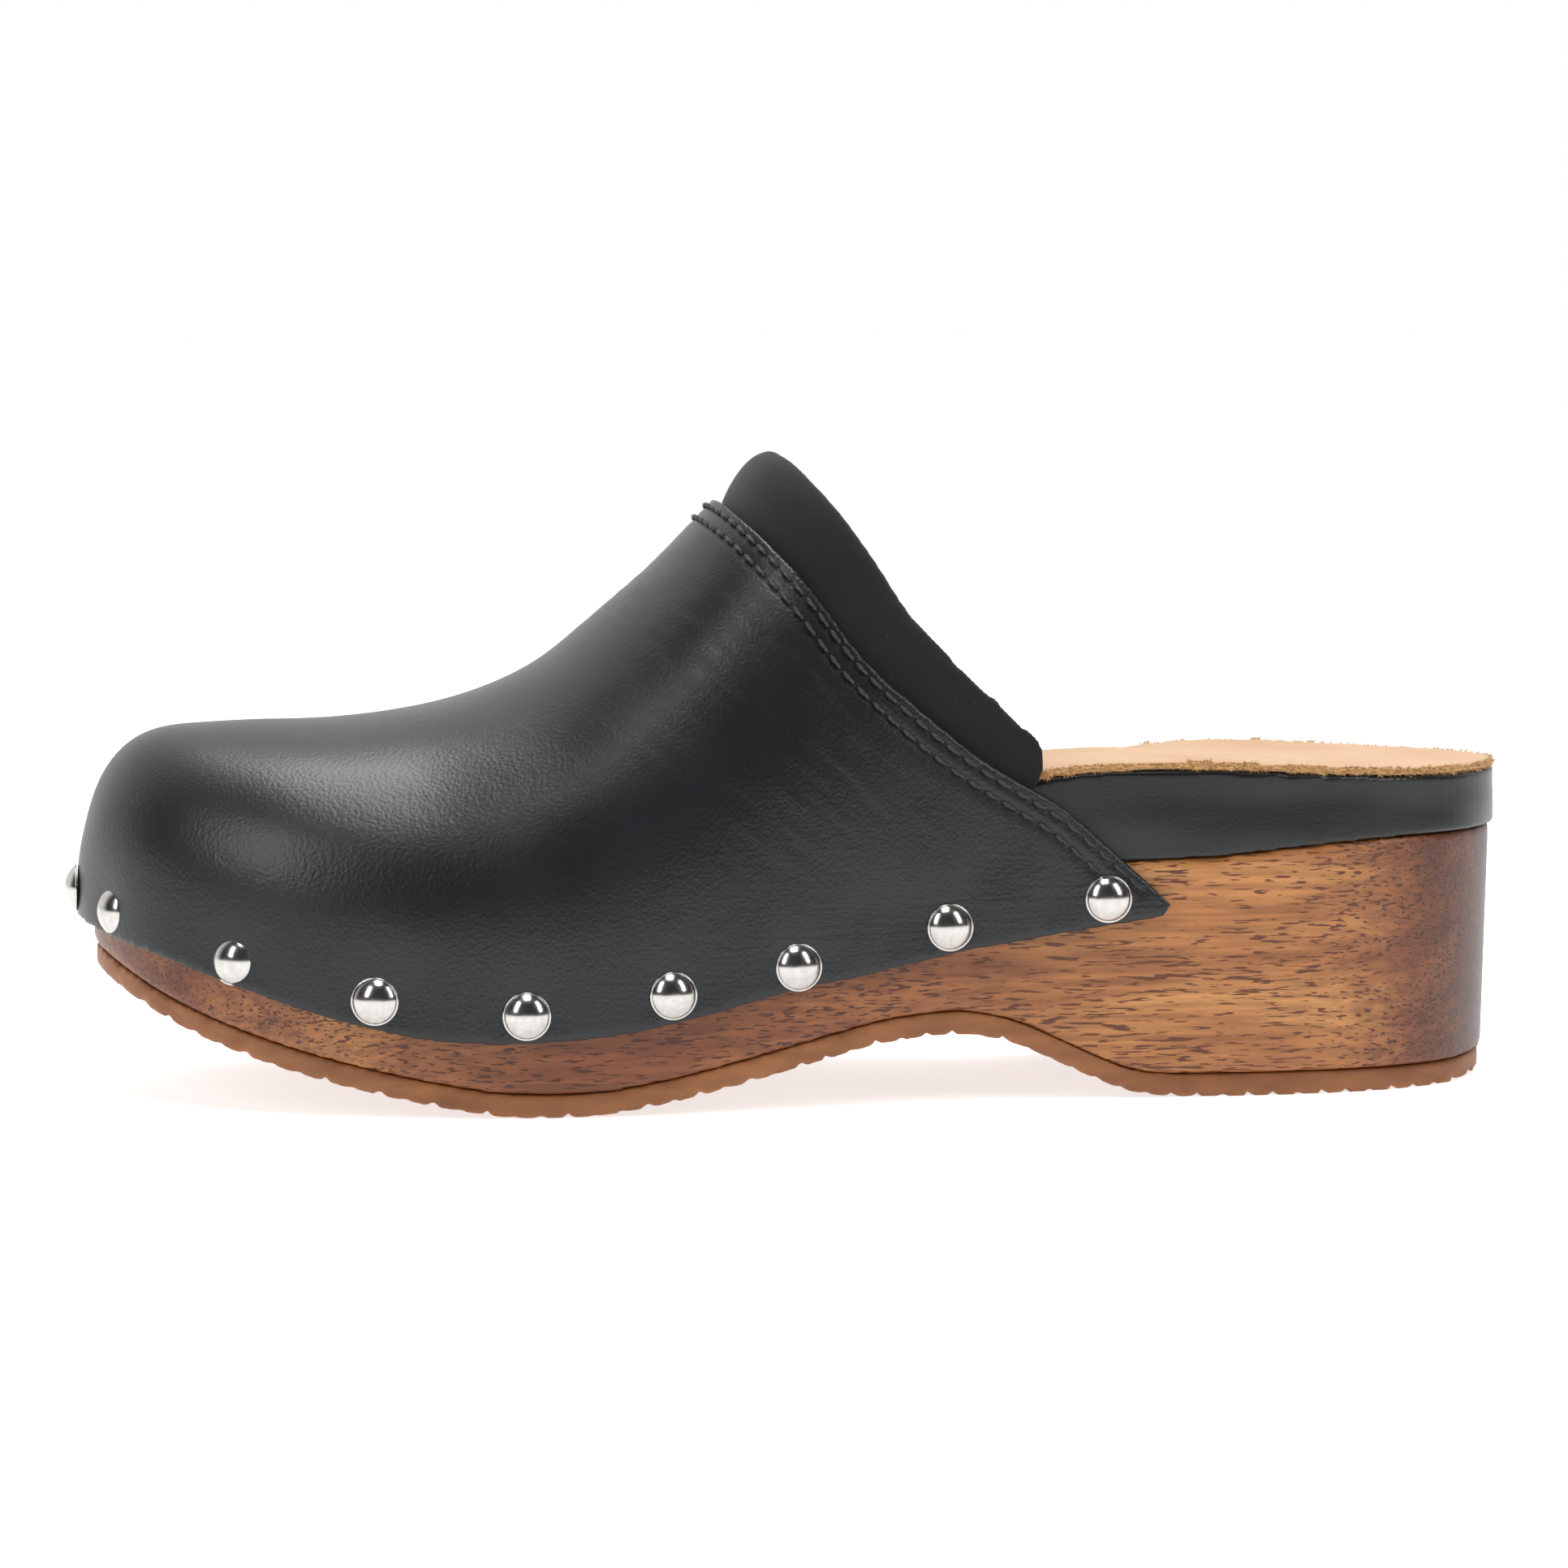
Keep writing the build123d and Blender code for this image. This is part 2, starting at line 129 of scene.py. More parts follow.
# %% Waxed cowhide
def waxed_cowhide():
    """Charcoal leather with a pebble grain and fine flex lines."""
    material, tree, surface, place = start_material("waxed_cowhide", IOR=1.5)
    patch_place = add_node(tree, "ShaderNodeMapping", {"Vector": place, "Scale": per_mm(24, 24, 24)})
    patches = add_node(tree, "ShaderNodeTexNoise", {"Vector": patch_place, "Scale": 1.0, "Detail": 4.0})
    body = add_node(tree, "ShaderNodeValToRGB", {"Fac": patches}, stops=[(0.3, "#0E1013"), (0.7, "#181B1E")])
    rim = add_node(tree, "ShaderNodeAttribute", attribute_name="raw_edge").outputs["Fac"]
    edge = add_node(tree, "ShaderNodeMix", {"Factor": rim, "A": body, "B": hex_colour("#2E3133")},
                    data_type="RGBA")
    tree.links.new(edge.outputs["Result"], surface.inputs["Base Color"])

    grain_place = add_node(tree, "ShaderNodeMapping", {"Vector": place, "Scale": per_mm(0.6, 0.6, 0.6)})
    pebble = add_node(tree, "ShaderNodeTexVoronoi", {"Vector": grain_place, "Scale": 1.0},
                      feature="SMOOTH_F1")
    fine = add_node(tree, "ShaderNodeTexNoise", {"Vector": grain_place, "Scale": 1.0, "Detail": 3.0})
    relief = add_node(tree, "ShaderNodeMath", {0: pebble, 1: fine}, operation="ADD")
    grain = add_node(tree, "ShaderNodeBump", {"Height": relief, "Strength": 0.55, "Distance": 0.075 * MM})

    turned = add_node(tree, "ShaderNodeMapping", {"Vector": place, "Rotation": (0, math.radians(52), 0)})
    flex_place = add_node(tree, "ShaderNodeMapping", {"Vector": turned, "Scale": per_mm(1.1, 5, 13)})
    flex = add_node(tree, "ShaderNodeTexNoise", {"Vector": flex_place, "Scale": 1.0, "Detail": 3.0,
                                                 "Distortion": 0.6})
    flex_mask = add_node(tree, "ShaderNodeAttribute", attribute_name="flexed").outputs["Fac"]
    flexed = add_node(tree, "ShaderNodeMath", {0: flex, 1: flex_mask}, operation="MULTIPLY")
    pull_place = add_node(tree, "ShaderNodeMapping", {"Vector": place, "Scale": per_mm(11, 8, 1.0)})
    pulled = add_node(tree, "ShaderNodeTexNoise", {"Vector": pull_place, "Scale": 1.0, "Detail": 3.0,
                                                   "Distortion": 0.8})
    pull_mask = add_node(tree, "ShaderNodeAttribute", attribute_name="pulled").outputs["Fac"]
    pull = add_node(tree, "ShaderNodeMath", {0: pulled, 1: pull_mask}, operation="MULTIPLY")
    lines = add_node(tree, "ShaderNodeMath", {0: flexed, 1: pull}, operation="ADD")
    creases = add_node(tree, "ShaderNodeBump", {"Height": lines, "Strength": 0.4, "Distance": 0.18 * MM,
                                                "Normal": grain})
    tree.links.new(creases.outputs["Normal"], surface.inputs["Normal"])
    gloss = add_node(tree, "ShaderNodeMapRange", {"Value": patches, "To Min": 0.31, "To Max": 0.40})
    tree.links.new(gloss.outputs["Result"], surface.inputs["Roughness"])
    return material


cowhide = waxed_cowhide()
print(cowhide.name, "has", len(cowhide.node_tree.nodes), "nodes")

# %% [markdown]
# The collar is nubuck: leather whose outer face is sanded to a short nap. It has no gloss, it is near black,
# and the nap catches a little light at a glancing angle, which sheen gives. A few specks of dust sit in it.

# %% Sanded nubuck
def sanded_nubuck():
    """Near-black leather with a sanded nap and a few specks of dust."""
    material, tree, surface, place = start_material("sanded_nubuck", Roughness=0.85, IOR=1.4,
                                                    Sheen_Weight=0.12, Sheen_Roughness=0.5)
    nap_place = add_node(tree, "ShaderNodeMapping", {"Vector": place, "Scale": per_mm(0.5, 0.5, 0.5)})
    nap = add_node(tree, "ShaderNodeTexNoise", {"Vector": nap_place, "Scale": 1.0, "Detail": 6.0})
    cloud_place = add_node(tree, "ShaderNodeMapping", {"Vector": place, "Scale": per_mm(14, 14, 14)})
    cloud = add_node(tree, "ShaderNodeTexNoise", {"Vector": cloud_place, "Scale": 1.0, "Detail": 3.0})
    body = add_node(tree, "ShaderNodeValToRGB", {"Fac": cloud}, stops=[(0.3, "#070808"), (0.7, "#0D0E0E")])
    dust_place = add_node(tree, "ShaderNodeMapping", {"Vector": place, "Scale": per_mm(2.6, 2.6, 2.6)})
    dust = add_node(tree, "ShaderNodeTexVoronoi", {"Vector": dust_place, "Scale": 1.0, "Randomness": 1.0})
    speck = add_node(tree, "ShaderNodeValToRGB", {"Fac": dust}, stops=[(0.045, WHITE), (0.07, BLACK)])
    tinted = add_node(tree, "ShaderNodeMix", {"Factor": speck, "A": body, "B": hex_colour("#2A2B2B")},
                      data_type="RGBA")
    tree.links.new(tinted.outputs["Result"], surface.inputs["Base Color"])
    bump = add_node(tree, "ShaderNodeBump", {"Height": nap, "Strength": 0.5, "Distance": 0.08 * MM})
    tree.links.new(bump.outputs["Normal"], surface.inputs["Normal"])
    return material


nubuck = sanded_nubuck()
print(nubuck.name, "has", len(nubuck.node_tree.nodes), "nodes")

# %% [markdown]
# The wood is a warm, open-grained hardwood, oiled and then lacquered thin. Its grain runs from toe to heel,
# so its pores show on the side as short dark dashes a few millimetres long. Bands of gold and red-brown
# follow the grain. Over them lies painted light and shade from toe to heel: painted shade at the toe, under
# the ball of the foot and round the back of the heel, and painted light between them.

# %% Oiled open-grained wood
def oiled_wood():
    """Banded brown wood with dark pores along X, and painted light and shade that change from toe to heel."""
    material, tree, surface, place = start_material("oiled_open_grained_wood", Roughness=0.42, IOR=1.5,
                                                    Coat_Weight=0.15, Coat_Roughness=0.3)
    band_place = add_node(tree, "ShaderNodeMapping", {"Vector": place, "Scale": per_mm(60, 9, 9)})
    bands = add_node(tree, "ShaderNodeTexNoise", {"Vector": band_place, "Scale": 1.0, "Detail": 6.0,
                                                  "Distortion": 0.4})
    warm = add_node(tree, "ShaderNodeValToRGB", {"Fac": bands},
                    stops=[(0.30, "#A0693E"), (0.48, "#BE8550"), (0.66, "#D8A468")])
    streak_place = add_node(tree, "ShaderNodeMapping", {"Vector": place, "Scale": per_mm(26, 1.1, 1.1)})
    streaks = add_node(tree, "ShaderNodeTexNoise", {"Vector": streak_place, "Scale": 1.0, "Detail": 4.0})
    line = add_node(tree, "ShaderNodeValToRGB", {"Fac": streaks}, stops=[(0.35, "#B4A89E"), (0.65, WHITE)])
    grain = add_node(tree, "ShaderNodeMix", {"Factor": 0.75, "A": warm, "B": line}, data_type="RGBA",
                     blend_type="MULTIPLY")

    pore_place = add_node(tree, "ShaderNodeMapping", {"Vector": place, "Scale": per_mm(4.4, 0.45, 0.42)})
    pores = add_node(tree, "ShaderNodeTexNoise", {"Vector": pore_place, "Scale": 1.0, "Detail": 1.5})
    group_place = add_node(tree, "ShaderNodeMapping", {"Vector": place, "Scale": per_mm(30, 7, 7)})
    groups = add_node(tree, "ShaderNodeTexNoise", {"Vector": group_place, "Scale": 1.0, "Detail": 2.0})
    level = add_node(tree, "ShaderNodeMath", {0: groups, 1: 0.22}, operation="MULTIPLY")
    chance = add_node(tree, "ShaderNodeMath", {0: pores, 1: level}, operation="ADD")
    pore = add_node(tree, "ShaderNodeValToRGB", {"Fac": chance}, stops=[(0.69, BLACK), (0.725, WHITE)])
    dark = add_node(tree, "ShaderNodeMix", {"Factor": pore, "A": grain.outputs["Result"],
                                            "B": hex_colour("#643519")}, data_type="RGBA")

    # Painted light and shade: a ramp along X darkens the toe, the part under the ball and the back of the heel,
    # and lightens the parts between them.
    along = add_node(tree, "ShaderNodeSeparateXYZ", {"Vector": place}).outputs["X"]
    share = add_node(tree, "ShaderNodeMapRange", {"Value": along, "From Min": cad_box[0][0],
                                                  "From Max": cad_box[1][0]})
    painted_light_and_shade = add_node(tree, "ShaderNodeValToRGB", {"Fac": share},
                     stops=[(0.03, "#A37A66"), (0.17, "#E9D6C4"), (0.32, "#B08A74"), (0.52, "#C7A68E"),
                            (0.70, "#F6E8D8"), (0.86, "#F0DFCD"), (0.92, "#B08F7C"), (0.98, "#6B4C40")])
    wood_with_painted_light = add_node(tree, "ShaderNodeMix", {"Factor": 1.0, "A": dark.outputs["Result"], "B": painted_light_and_shade},
                       data_type="RGBA", blend_type="MULTIPLY")
    tree.links.new(wood_with_painted_light.outputs["Result"], surface.inputs["Base Color"])
    depth = add_node(tree, "ShaderNodeMath", {0: 1.0, 1: pore}, operation="SUBTRACT")
    bump = add_node(tree, "ShaderNodeBump", {"Height": depth, "Strength": 0.35, "Distance": 0.12 * MM})
    tree.links.new(bump.outputs["Normal"], surface.inputs["Normal"])
    return material


wood = oiled_wood()
print(wood.name, "has", len(wood.node_tree.nodes), "nodes")

# %% [markdown]
# The outsole is moulded gum rubber: translucent caramel, matt, with a fine mould texture and some scuffing.

# %% Moulded gum rubber
def gum_rubber():
    """Translucent caramel rubber with a fine mould texture."""
    material, tree, surface, place = start_material("moulded_gum_rubber", Roughness=0.55, IOR=1.52,
                                                    Subsurface_Weight=0.12, Subsurface_Scale=0.6 * MM)
    cloud_place = add_node(tree, "ShaderNodeMapping", {"Vector": place, "Scale": per_mm(12, 5, 3)})
    cloud = add_node(tree, "ShaderNodeTexNoise", {"Vector": cloud_place, "Scale": 1.0, "Detail": 5.0})
    body = add_node(tree, "ShaderNodeValToRGB", {"Fac": cloud}, stops=[(0.3, "#7E4A27"), (0.7, "#9C6438")])
    tree.links.new(body.outputs["Color"], surface.inputs["Base Color"])
    grit_place = add_node(tree, "ShaderNodeMapping", {"Vector": place, "Scale": per_mm(0.4, 0.4, 0.4)})
    grit = add_node(tree, "ShaderNodeTexNoise", {"Vector": grit_place, "Scale": 1.0, "Detail": 4.0})
    bump = add_node(tree, "ShaderNodeBump", {"Height": grit, "Strength": 0.3, "Distance": 0.08 * MM})
    tree.links.new(bump.outputs["Normal"], surface.inputs["Normal"])
    return material


rubber = gum_rubber()
print(rubber.name, "has", len(rubber.node_tree.nodes), "nodes")

# %% [markdown]
# The footbed's edge is wrapped in smooth glazed calf, and its top is a sock of undyed vegetable-tanned
# leather. The calf shows tiny pores. The sock is matt and tan, and its cut edge is golden and fibrous.

# %% Glazed calf and vegetable-tanned sock
def glazed_calf():
    """Smooth black leather with tiny pores."""
    material, tree, surface, place = start_material("glazed_calf", Roughness=0.32, IOR=1.5)
    cloud_place = add_node(tree, "ShaderNodeMapping", {"Vector": place, "Scale": per_mm(18, 10, 7)})
    cloud = add_node(tree, "ShaderNodeTexNoise", {"Vector": cloud_place, "Scale": 1.0, "Detail": 4.0})
    body = add_node(tree, "ShaderNodeValToRGB", {"Fac": cloud}, stops=[(0.3, "#08090B"), (0.7, "#101214")])
    tree.links.new(body.outputs["Color"], surface.inputs["Base Color"])
    pore_place = add_node(tree, "ShaderNodeMapping", {"Vector": place, "Scale": per_mm(0.5, 0.5, 0.5)})
    pores = add_node(tree, "ShaderNodeTexVoronoi", {"Vector": pore_place, "Scale": 1.0})
    bump = add_node(tree, "ShaderNodeBump", {"Height": pores, "Strength": 0.25, "Distance": 0.05 * MM})
    tree.links.new(bump.outputs["Normal"], surface.inputs["Normal"])
    return material


def vegetable_tanned_sock():
    """Matt tan leather that turns golden and fibrous where the mask says that it was cut."""
    material, tree, surface, place = start_material("vegetable_tanned_leather", Roughness=0.62, IOR=1.45,
                                                    Sheen_Weight=0.1)
    cloud_place = add_node(tree, "ShaderNodeMapping", {"Vector": place, "Scale": per_mm(16, 16, 16)})
    cloud = add_node(tree, "ShaderNodeTexNoise", {"Vector": cloud_place, "Scale": 1.0, "Detail": 6.0})
    body = add_node(tree, "ShaderNodeValToRGB", {"Fac": cloud}, stops=[(0.3, "#C69C74"), (0.7, "#D3AC86")])
    fibre_place = add_node(tree, "ShaderNodeMapping", {"Vector": place, "Scale": per_mm(0.8, 0.8, 0.3)})
    fibre = add_node(tree, "ShaderNodeTexNoise", {"Vector": fibre_place, "Scale": 1.0, "Detail": 5.0})
    cut = add_node(tree, "ShaderNodeValToRGB", {"Fac": fibre}, stops=[(0.32, "#7A4F28"), (0.68, "#D2A468")])
    rim = add_node(tree, "ShaderNodeAttribute", attribute_name="raw_edge").outputs["Fac"]
    both = add_node(tree, "ShaderNodeMix", {"Factor": rim, "A": body, "B": cut}, data_type="RGBA")
    tree.links.new(both.outputs["Result"], surface.inputs["Base Color"])
    bump = add_node(tree, "ShaderNodeBump", {"Height": fibre, "Strength": 0.3, "Distance": 0.12 * MM})
    tree.links.new(bump.outputs["Normal"], surface.inputs["Normal"])
    return material


calf = glazed_calf()
sock_hide = vegetable_tanned_sock()
print(calf.name, "and", sock_hide.name, "are ready")

# %% [markdown]
# The nail heads are pressed steel, nickel plated and tumbled bright, so they mirror the room with only a
# slight haze. The thread is waxed polyester twist. Lining, foam, stiffener and pins are hidden in use and get
# plain, honest finishes of their own.

# %% Nickel, thread and hidden finishes
def bright_nickel():
    """Mirror-like plate with a faint haze."""
    material, tree, surface, place = start_material("bright_nickel_plate", Metallic=1.0, Roughness=0.16)
    haze_place = add_node(tree, "ShaderNodeMapping", {"Vector": place, "Scale": per_mm(1.2, 1.2, 1.2)})
    haze = add_node(tree, "ShaderNodeTexNoise", {"Vector": haze_place, "Scale": 1.0, "Detail": 5.0})
    body = add_node(tree, "ShaderNodeValToRGB", {"Fac": haze}, stops=[(0.3, "#BDBAB6"), (0.7, "#CFCCC8")])
    tree.links.new(body.outputs["Color"], surface.inputs["Base Color"])
    gloss = add_node(tree, "ShaderNodeMapRange", {"Value": haze, "To Min": 0.13, "To Max": 0.22})
    tree.links.new(gloss.outputs["Result"], surface.inputs["Roughness"])
    return material


def grainy_finish(name, low, high, grain_mm, depth_mm, **shader):
    """A finish of two close colours over a fine relief of a given grain."""
    material, tree, surface, place = start_material(name, **shader)
    grain_place = add_node(tree, "ShaderNodeMapping", {"Vector": place, "Scale": per_mm(*[grain_mm] * 3)})
    grain = add_node(tree, "ShaderNodeTexNoise", {"Vector": grain_place, "Scale": 1.0, "Detail": 4.0})
    body = add_node(tree, "ShaderNodeValToRGB", {"Fac": grain}, stops=[(0.3, low), (0.7, high)])
    tree.links.new(body.outputs["Color"], surface.inputs["Base Color"])
    bump = add_node(tree, "ShaderNodeBump", {"Height": grain, "Strength": 0.4, "Distance": depth_mm * MM})
    tree.links.new(bump.outputs["Normal"], surface.inputs["Normal"])
    return material


nickel = bright_nickel()
thread = grainy_finish("waxed_polyester_thread", "#141516", "#34373A", 0.3, 0.05, Roughness=0.5)
lining_cloth = grainy_finish("brushed_cotton_lining", "#1B1B1C", "#28282A", 0.5, 0.08, Roughness=0.95)
foam = grainy_finish("open_cell_foam", "#C9BF9E", "#DDD4B6", 0.7, 0.2, Roughness=0.95)
cork = grainy_finish("pressed_cork", "#8A6440", "#B68A5C", 1.6, 0.15, Roughness=0.85)
stiffener = grainy_finish("thermoformed_stiffener", "#8D8676", "#A39B88", 0.8, 0.05, Roughness=0.7)
drawn_wire = grainy_finish("drawn_steel_wire", "#8F9194", "#A8AAAD", 0.3, 0.01, Metallic=1.0, Roughness=0.35)

cad_finishes = {"wood_sole": wood, "rubber_outsole": rubber, "upper_leather": cowhide,
                "upper_lining": lining_cloth, "toe_puff": stiffener, "collar_cover": nubuck,
                "collar_foam": foam, "footbed_core": cork, "footbed_cushion": foam, "footbed_wrap": calf,
                "insole_sock": sock_hide, "topline_stitches_upper_row": thread,
                "topline_stitches_lower_row": thread}
nail_rows = ("toe", "lateral", "medial")
for nail_row in nail_rows:
    cad_finishes["stud_caps_" + nail_row] = nickel
    cad_finishes["stud_pins_" + nail_row] = drawn_wire
for node, finish in cad_finishes.items():
    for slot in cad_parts[node].material_slots:
        slot.material = finish
print(len(cad_finishes), "CAD pieces have a finish")

# %% [markdown]
# A leather edge, a padded roll and a carved block have no knife-sharp corners. Voxel remeshing a copy of the
# CAD piece and smoothing it a little rounds every edge by about one voxel and gives an even mesh, which can
# then be pressed and creased point by point.

# %% Helpers for soft pieces
def outer_skin(mesh):
    """Weld a mesh and keep only its widest shell, so that a hollow cover becomes one filled body."""
    work = bmesh.new()
    work.from_mesh(mesh)
    bmesh.ops.remove_doubles(work, verts=work.verts, dist=0.002 * MM)
    unseen = set(work.verts)
    shells = []
    while unseen:
        queue = [unseen.pop()]
        shell = list(queue)
        while queue:
            for edge in queue.pop().link_edges:
                for vertex in edge.verts:
                    if vertex in unseen:
                        unseen.remove(vertex)
                        queue.append(vertex)
                        shell.append(vertex)
        shells.append(shell)
    widest = max(shells, key=lambda shell: max(v.co.z for v in shell) - min(v.co.z for v in shell))
    inner = [v for shell in shells if shell is not widest for v in shell]
    bmesh.ops.delete(work, geom=inner, context="VERTS")
    work.to_mesh(mesh)
    work.free()


def resurfaced(node, name, voxel_mm, rounds, filled=False):
    """A copy of a CAD node with an even mesh and softly rounded edges."""
    piece = bpy.data.objects.new(name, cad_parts[node].data.copy())
    bpy.context.scene.collection.objects.link(piece)
    if filled:
        outer_skin(piece.data)
    remesh = piece.modifiers.new("even", "REMESH")
    remesh.mode = "VOXEL"
    remesh.voxel_size = voxel_mm * MM
    smooth = piece.modifiers.new("soften", "SMOOTH")
    smooth.iterations = rounds
    smooth.factor = 0.5
    bpy.context.view_layer.update()
    even = bpy.data.meshes.new_from_object(piece.evaluated_get(bpy.context.evaluated_depsgraph_get()))
    piece.modifiers.clear()
    piece.data = even
    even.polygons.foreach_set("use_smooth", [True] * len(even.polygons))
    print(name, "has", len(even.vertices), "points")
    return piece


def points_and_normals(piece):
    """All of a piece's points and their normals, as two arrays with a row for each point."""
    count = len(piece.data.vertices)
    points = np.empty(count * 3)
    normals = np.empty(count * 3)
    piece.data.vertices.foreach_get("co", points)
    piece.data.vertex_normals.foreach_get("vector", normals)
    return points.reshape(-1, 3), normals.reshape(-1, 3)


def move_points(piece, points):
    """Put every point of a piece where the array says."""
    piece.data.vertices.foreach_set("co", points.reshape(-1))
    piece.data.update()


def new_piece(name, points, faces):
    """A smooth-shaded piece in the scene, from plain points and faces."""
    mesh = bpy.data.meshes.new(name)
    mesh.from_pydata([tuple(point) for point in points], [], faces)
    mesh.polygons.foreach_set("use_smooth", [True] * len(mesh.polygons))
    mesh.update()
    piece = bpy.data.objects.new(name, mesh)
    bpy.context.scene.collection.objects.link(piece)
    return piece


def finish_piece(piece, material, slot_name, *nodes):
    """Give a new piece its finish and its place in the shoe, and hide the CAD nodes that it stands for."""
    piece.data.materials.clear()
    piece.data.materials.append(material)
    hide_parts(*nodes)
    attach(piece, "root")


def paint_mask(piece, name, values):
    """Store one number for each point, for the material to read."""
    piece.data.attributes.new(name, "FLOAT", "POINT").data.foreach_set("value", values)


def mark_raw_edge(piece, thickness_mm):
    """Mark the cut edge of a sheet: straight in from it, the far side is more than a thickness away."""
    start_inside = 0.05 * MM
    far_enough = thickness_mm * 2.2 * MM
    tree = BVHTree.FromObject(piece, bpy.context.evaluated_depsgraph_get())
    points, normals = points_and_normals(piece)
    raw = np.zeros(len(points))
    for i, (point, normal) in enumerate(zip(points, normals)):
        inward = -Vector(normal)
        hit = tree.ray_cast(Vector(point) + inward * start_inside, inward, far_enough)
        raw[i] = 0.0 if hit[0] is not None else 1.0
    paint_mask(piece, "raw_edge", raw)
    print(piece.name, "raw edge share", round(float(raw.mean()), 3))


def loose_parts(mesh):
    """The separate solids of a mesh, each as an array of its points."""
    parent = list(range(len(mesh.vertices)))

    def root(i):
        """The point that stands for the whole part that point i belongs to."""
        while parent[i] != i:
            parent[i] = parent[parent[i]]
            i = parent[i]
        return i

    for edge in mesh.edges:
        a, b = root(edge.vertices[0]), root(edge.vertices[1])
        parent[a] = b
    groups = {}
    for vertex in mesh.vertices:
        groups.setdefault(tuple(round(c, 7) for c in vertex.co), []).append(vertex.index)
    for same in groups.values():
        for other in same[1:]:
            parent[root(other)] = root(same[0])
    parts = {}
    for vertex in mesh.vertices:
        parts.setdefault(root(vertex.index), []).append(vertex.co[:])
    return [np.array(part) for part in parts.values()]


# %% [markdown]
# Each nail head is a dome 8.3 mm across. Its axis is the thin direction of its points, and points away from
# the middle of the shoe. These centres also say where the leather is pulled in.

# %% Find the nail heads
stud_seats = []
for nail_row in nail_rows:
    node = "stud_caps_" + nail_row
    for part in loose_parts(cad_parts[node].data):
        centre = (part.min(axis=0) + part.max(axis=0)) / 2
        _, axes = np.linalg.eigh(np.cov((part - part.mean(axis=0)).T))
        axis = axes[:, 0]
        if np.dot(axis[:2], centre[:2]) < 0:
            axis = -axis
        stud_seats.append((node, Vector(centre), Vector(axis)))
print(len(stud_seats), "nail heads")

# %% [markdown]
# The thread is a two-ply twist. Each stitch of the CAD gives its middle, its direction and its length. Along
# that line goes a short sausage of two-stranded thread, which dives into the leather at both ends.

# %% Stitches
thread_radius = 0.36 * MM
ply_depth = 0.22        # how far the two plies' outline swings, as a share of the radius
ply_turn = 1.6          # half turns of twist over one stitch
end_dive = 0.22 * MM    # how far both ends go down into the leather
stitch_sink = 0.12 * MM
stitch_stretch = 1.12   # the ends run past the CAD stitch, into their holes


def stitch_line(part):
    """The middle of a stitch, its direction and its length."""
    middle = part.mean(axis=0)
    _, axes = np.linalg.eigh(np.cov((part - middle).T))
    direction = axes[:, 2]
    along = (part - middle) @ direction
    return middle, direction, along.max() - along.min()


def twisted_stitch(middle, direction, length, outward, rings=11, sides=10):
    """Points and faces of one two-ply stitch."""
    across = np.cross(direction, outward)
    across /= np.linalg.norm(across)
    up = np.cross(across, direction)
    points = []
    faces = []
    for ring in range(rings):
        share = ring / (rings - 1)
        taper = math.sqrt(max(1 - abs(2 * share - 1) ** 4, 0.02))
        dive = (2 * share - 1) ** 4 * end_dive
        centre = middle + direction * (share - 0.5) * length - up * dive
        for side in range(sides):
            angle = 2 * math.pi * side / sides
            lobe = 1 + ply_depth * math.cos(2 * (angle - share * math.pi * ply_turn))
            radius = thread_radius * taper * lobe
            points.append(centre + (across * math.cos(angle) + up * math.sin(angle)) * radius)
    for ring in range(rings - 1):
        for side in range(sides):
            a = ring * sides + side
            b = ring * sides + (side + 1) % sides
            faces.append((a, b, b + sides, a + sides))
    faces.append(tuple(range(sides - 1, -1, -1)))
    faces.append(tuple(range((rings - 1) * sides, rings * sides)))
    return points, faces


leather_surface = BVHTree.FromObject(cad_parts["upper_leather"],
                                     bpy.context.evaluated_depsgraph_get())
stitch_middles = []
for node in ("topline_stitches_upper_row", "topline_stitches_lower_row"):
    points = []
    faces = []
    for part in loose_parts(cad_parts[node].data):
        middle, direction, length = stitch_line(part)
        spot = leather_surface.find_nearest(Vector(middle))[0]
        outward = np.array(Vector(middle) - spot)
        outward /= np.linalg.norm(outward)
        middle = middle - outward * stitch_sink
        stitch_middles.append((middle, direction, length))
        new_points, new_faces = twisted_stitch(middle, direction, length * stitch_stretch, outward)
        faces += [tuple(i + len(points) for i in face) for face in new_faces]
        points += new_points
    stitches = new_piece(node.replace("topline_", "thread_"), points, faces)
    finish_piece(stitches, thread, "thread", node)
print(len(stitch_middles), "stitches")

# %% [markdown]
# A nail head is a pressed dome with a thin turned-in rim. Turning a profile round the nail's axis gives the
# dome, the small groove above the rim and the rim itself.

